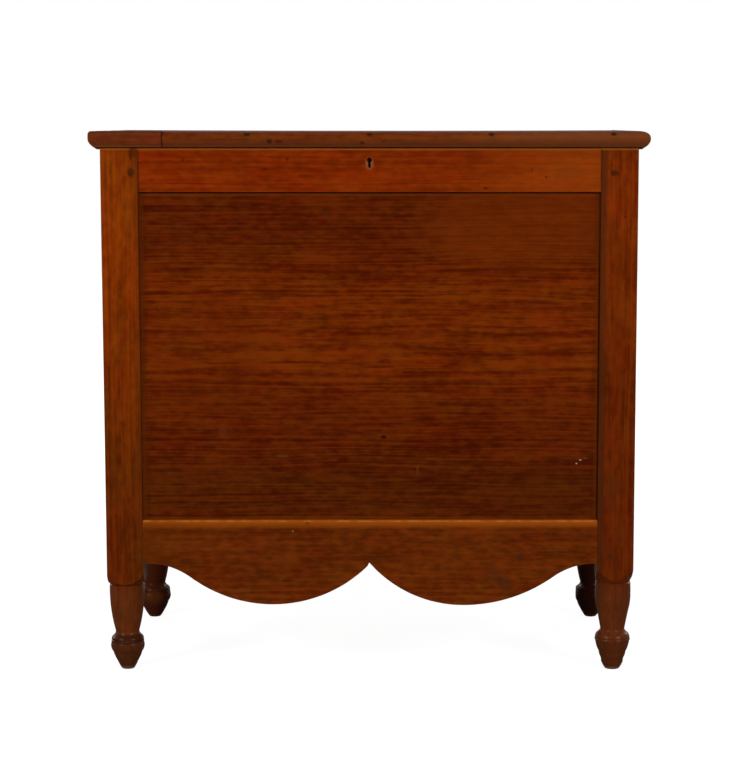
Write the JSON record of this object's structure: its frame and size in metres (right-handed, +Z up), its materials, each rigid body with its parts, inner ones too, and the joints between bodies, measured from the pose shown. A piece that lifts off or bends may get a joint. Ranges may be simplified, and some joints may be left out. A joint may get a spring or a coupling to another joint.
{
  "type": "sugar chest",
  "caption": "Wooden sugar chest: frame and panel bin on turned feet with a lobed front apron, a divided interior, a lock and a hinged lid with a moulded edge.",
  "frame": {"origin": "on the floor, under the middle of the chest's overall box (the lid overhangs all four sides alike)", "axes": "+Z up, front faces -Y, +X to the right seen from the front"},
  "size_m": [0.898, 0.474, 0.8869],
  "materials": {
    "cherry_posts": "old satin varnish",
    "cherry_rails": "old satin varnish",
    "cherry_panels": "old satin varnish",
    "cherry_lid": "old satin varnish",
    "poplar_inside": "bare, planed, aged",
    "peg_wood": "end grain under varnish",
    "wrought_iron": "dark, worn",
    "lock_iron": "aged, filed"
  },
  "bodies": {
    "case": {"post_front_left": "cherry_posts", "post_front_right": "cherry_posts", "post_back_left": "cherry_posts", "post_back_right": "cherry_posts", "rail_front_top": "cherry_rails", "panel_front": "cherry_panels", "pegs_front": "peg_wood", "bottom_cleat_front": "poplar_inside", "rail_back_top": "cherry_rails", "panel_back": "cherry_panels", "pegs_back": "peg_wood", "bottom_cleat_back": "poplar_inside", "rail_left_top": "cherry_rails", "panel_left": "cherry_panels", "pegs_left": "peg_wood", "bottom_cleat_left": "poplar_inside", "rail_right_top": "cherry_rails", "panel_right": "cherry_panels", "pegs_right": "peg_wood", "bottom_cleat_right": "poplar_inside", "rail_back_bottom": "cherry_rails", "rail_left_bottom": "cherry_rails", "rail_right_bottom": "cherry_rails", "apron_front": "cherry_rails", "bottom_board_left": "poplar_inside", "bottom_board_middle": "poplar_inside", "bottom_board_right": "poplar_inside", "cleat_nails": "wrought_iron", "divider_cleat_front": "poplar_inside", "divider_cleat_back": "poplar_inside", "divider": "poplar_inside", "lock_case": "lock_iron", "lock_cap": "lock_iron", "lock_screws": "lock_iron", "lock_key_pin": "lock_iron", "lock_spring": "lock_iron", "hinge_left_case_leaf": "wrought_iron", "hinge_right_case_leaf": "wrought_iron", "hinge_pins": "wrought_iron", "hinge_case_screws": "wrought_iron"},
    "lid": {"lid_board_front": "cherry_lid", "lid_board_back": "cherry_lid", "lid_moulding_patch": "cherry_lid", "lid_moulding_front": "cherry_lid", "lid_moulding_left": "cherry_lid", "lid_moulding_right": "cherry_lid", "moulding_nails": "wrought_iron", "hinge_left_lid_leaf": "wrought_iron", "hinge_right_lid_leaf": "wrought_iron", "hinge_lid_screws": "wrought_iron", "lid_link_plate": "lock_iron", "link_screws": "lock_iron"},
    "bolt": {"lock_bolt": "lock_iron"}
  },
  "joints": [
    {"name": "lid_hinge", "type": "hinge", "parent": "case", "child": "lid", "pos_m": [0, 0.2243, 0.86015], "axis": [-1, 0, 0], "range_deg": [0, 108]},
    {"name": "bolt_slide", "type": "slide", "parent": "case", "child": "bolt", "axis": [1, 0, 0], "range_m": [0, 0.008]}
  ]
}
